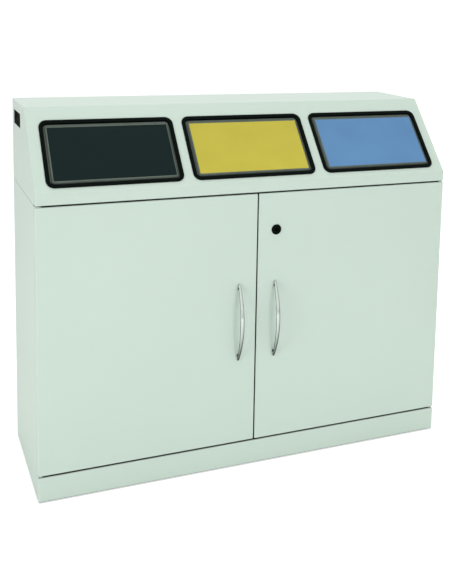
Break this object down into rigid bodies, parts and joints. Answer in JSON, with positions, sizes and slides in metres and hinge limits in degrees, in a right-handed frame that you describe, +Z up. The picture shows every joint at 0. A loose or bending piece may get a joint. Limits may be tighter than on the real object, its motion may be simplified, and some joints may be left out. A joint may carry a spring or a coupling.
{
  "type": "recycling bin station",
  "caption": "Sheet-steel waste sorting cabinet: sloping hood with push flaps in black frames over inner bins behind two hinged doors with bow handles and a cam lock.",
  "frame": {"origin": "on the floor, under the middle of the bounding box", "axes": "+Z up, -Y towards the front where the doors and flaps face, +X to the right of someone facing the front"},
  "size_m": [1.2, 0.456, 1.02],
  "materials": {
    "paint_grey": "fine-textured powder coat, light grey with a green cast",
    "galvanised": "galvanised sheet with spangle",
    "satin_nickel": "satin nickel plate",
    "zinc": "bright zinc plate",
    "black_zinc": "black-plated zinc die casting, satin",
    "spring_steel": "oiled spring steel",
    "black_plastic": "moulded, fine grain",
    "grey_plastic": "moulded, satin bevel",
    "nylon": "natural nylon",
    "insert_black": "satin coat",
    "insert_yellow": "satin coat",
    "insert_blue": "satin coat"
  },
  "bodies": {
    "cabinet": {"left_side_panel": "paint_grey", "right_side_panel": "paint_grey", "back_panel": "paint_grey", "floor_panel": "paint_grey", "plinth_front": "paint_grey", "top_front_rail": "paint_grey", "top_rear_rail": "paint_grey", "foot_front_left": "black_plastic", "foot_front_right": "black_plastic", "foot_rear_left": "black_plastic", "foot_rear_right": "black_plastic", "bin_guide_left": "galvanised", "bin_guide_right": "galvanised", "magnetic_catch_left": "black_plastic", "magnetic_catch_right": "black_plastic", "lock_strike": "zinc", "left_pivot_pin_bottom": "zinc", "left_pivot_pin_top": "zinc", "right_pivot_pin_bottom": "zinc", "right_pivot_pin_top": "zinc", "left_inner_bin": "galvanised", "centre_inner_bin": "galvanised", "right_inner_bin": "galvanised"},
    "left_door": {"left_door_pan": "paint_grey", "left_door_stiffener": "paint_grey", "left_door_handle": "satin_nickel", "left_handle_screw_bottom": "zinc", "left_handle_screw_top": "zinc", "left_door_bush_bottom": "nylon", "left_door_bush_top": "nylon"},
    "right_door": {"right_door_pan": "paint_grey", "right_door_stiffener": "paint_grey", "right_door_handle": "satin_nickel", "right_handle_screw_bottom": "zinc", "right_handle_screw_top": "zinc", "right_door_bush_bottom": "nylon", "right_door_bush_top": "nylon", "lock_housing": "black_plastic", "lock_nut": "zinc"},
    "lock_plug": {"lock_cylinder": "black_zinc", "lock_cam": "zinc"},
    "hood": {"hood_shell": "paint_grey", "left_inlet_frame": "black_plastic", "centre_inlet_frame": "black_plastic", "right_inlet_frame": "black_plastic", "left_flap_axle": "zinc", "centre_flap_axle": "zinc", "right_flap_axle": "zinc"},
    "left_flap": {"left_flap_plate": "grey_plastic", "left_flap_insert": "insert_black", "left_flap_spring": "spring_steel"},
    "centre_flap": {"centre_flap_plate": "grey_plastic", "centre_flap_insert": "insert_yellow", "centre_flap_spring": "spring_steel"},
    "right_flap": {"right_flap_plate": "grey_plastic", "right_flap_insert": "insert_blue", "right_flap_spring": "spring_steel"},
    "left_bail": {"left_bin_bail": "zinc"},
    "centre_bail": {"centre_bin_bail": "zinc"},
    "right_bail": {"right_bin_bail": "zinc"}
  },
  "joints": [
    {"name": "left_door_hinge", "type": "hinge", "parent": "cabinet", "child": "left_door", "pos_m": [-0.592, -0.184, 0.43], "axis": [0, 0, -1], "range_deg": [0, 110]},
    {"name": "right_door_hinge", "type": "hinge", "parent": "cabinet", "child": "right_door", "pos_m": [0.592, -0.184, 0.43], "axis": [0, 0, 1], "range_deg": [0, 110]},
    {"name": "lock_turn", "type": "hinge", "parent": "right_door", "child": "lock_plug", "pos_m": [0.055, -0.184, 0.682], "axis": [0, 1, 0], "range_deg": [0, 90]},
    {"name": "hood_lift", "type": "slide", "parent": "cabinet", "child": "hood", "axis": [0, 0, 1], "range_m": [0, 0.06]},
    {"name": "left_flap_hinge", "type": "hinge", "parent": "hood", "child": "left_flap", "pos_m": [-0.3885, -0.04897, 0.96073], "axis": [1, 0, 0], "range_deg": [0, 60]},
    {"name": "centre_flap_hinge", "type": "hinge", "parent": "hood", "child": "centre_flap", "pos_m": [0, -0.04897, 0.96073], "axis": [1, 0, 0], "range_deg": [0, 60]},
    {"name": "right_flap_hinge", "type": "hinge", "parent": "hood", "child": "right_flap", "pos_m": [0.3885, -0.04897, 0.96073], "axis": [1, 0, 0], "range_deg": [0, 60]},
    {"name": "left_bail_swing", "type": "hinge", "parent": "cabinet", "child": "left_bail", "pos_m": [-0.38, 0.018, 0.69], "axis": [1, 0, 0], "range_deg": [0, 107.5]},
    {"name": "centre_bail_swing", "type": "hinge", "parent": "cabinet", "child": "centre_bail", "pos_m": [0, 0.018, 0.69], "axis": [1, 0, 0], "range_deg": [0, 107.5]},
    {"name": "right_bail_swing", "type": "hinge", "parent": "cabinet", "child": "right_bail", "pos_m": [0.38, 0.018, 0.69], "axis": [1, 0, 0], "range_deg": [0, 107.5]}
  ]
}
